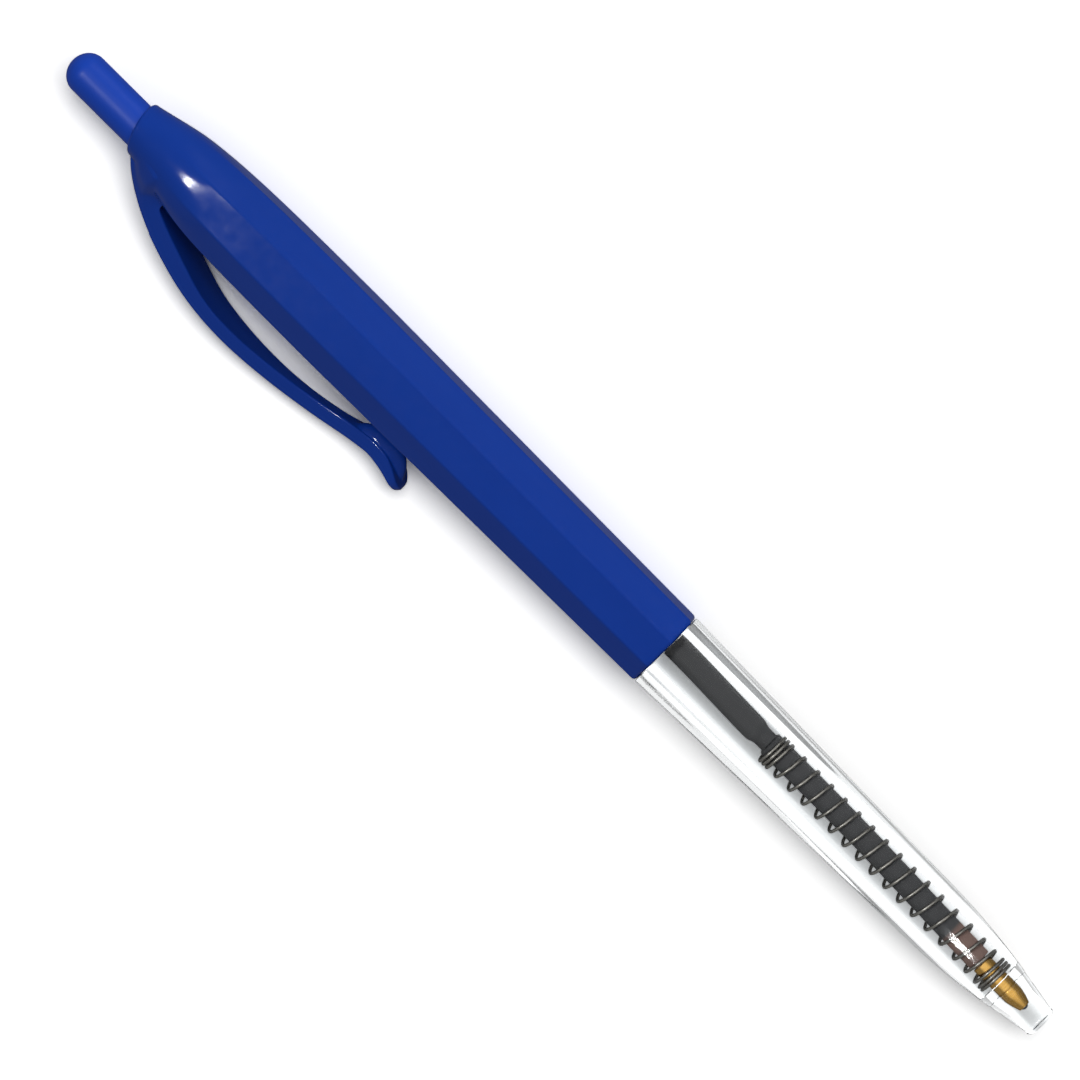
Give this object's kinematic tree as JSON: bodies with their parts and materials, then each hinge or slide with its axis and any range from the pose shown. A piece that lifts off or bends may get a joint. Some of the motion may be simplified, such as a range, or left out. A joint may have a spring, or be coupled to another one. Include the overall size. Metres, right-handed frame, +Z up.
{
  "type": "ballpoint pen",
  "caption": "Retractable ballpoint pen with an eight-sided blue barrel, moulded clip, push button and clear front barrel showing the refill and spring.",
  "frame": {"origin": "centre of the bounding box's bottom face: the ground under the middle of the pen as it lies on its clip and one barrel corner", "axes": "+X along the pen from the button to the nose, +Y level and away from the clip, +Z up"},
  "size_m": [0.141, 0.0156, 0.0097],
  "materials": {
    "barrel_blue": "gloss",
    "clear_plastic": "gloss",
    "button_blue": "gloss",
    "rotor_white": "satin",
    "tube_black": "satin",
    "ink": "gloss",
    "brass": "satin",
    "ball_steel": "polished",
    "spring_steel": "satin"
  },
  "bodies": {
    "barrel": {"upper_barrel": "barrel_blue", "front_barrel": "clear_plastic", "return_spring": "spring_steel"},
    "button": {"push_button": "button_blue"},
    "refill": {"refill_tube": "tube_black", "ink_column": "ink", "point_socket": "brass"},
    "rotor": {"rotor": "rotor_white"},
    "ball": {"point_ball": "ball_steel"}
  },
  "joints": [
    {"name": "button_press", "type": "slide", "parent": "barrel", "child": "button", "axis": [1, 0, 0], "range_m": [0, 0.0052], "stiffness_N_per_m": 250, "springref_m": -0.006, "deforming": ["return_spring"]},
    {"name": "refill_advance", "type": "slide", "parent": "barrel", "child": "refill", "axis": [1, 0, 0], "range_m": [0, 0.0052]},
    {"name": "rotor_turn", "type": "hinge", "parent": "refill", "child": "rotor", "pos_m": [-0.04, 0.00294, 0.00486], "axis": [-1, 0, 0], "range_deg": [0, 11.3]},
    {"name": "ball_roll", "type": "hinge", "parent": "refill", "child": "ball", "pos_m": [0.0676, 0.00294, 0.00486], "axis": [0, 1, 0], "continuous": true}
  ],
  "couplings": [
    {"joint": "refill_advance", "follows": "button_press", "ratio": 1},
    {"joint": "rotor_turn", "follows": "button_press", "rad_per_m": 37.7}
  ]
}
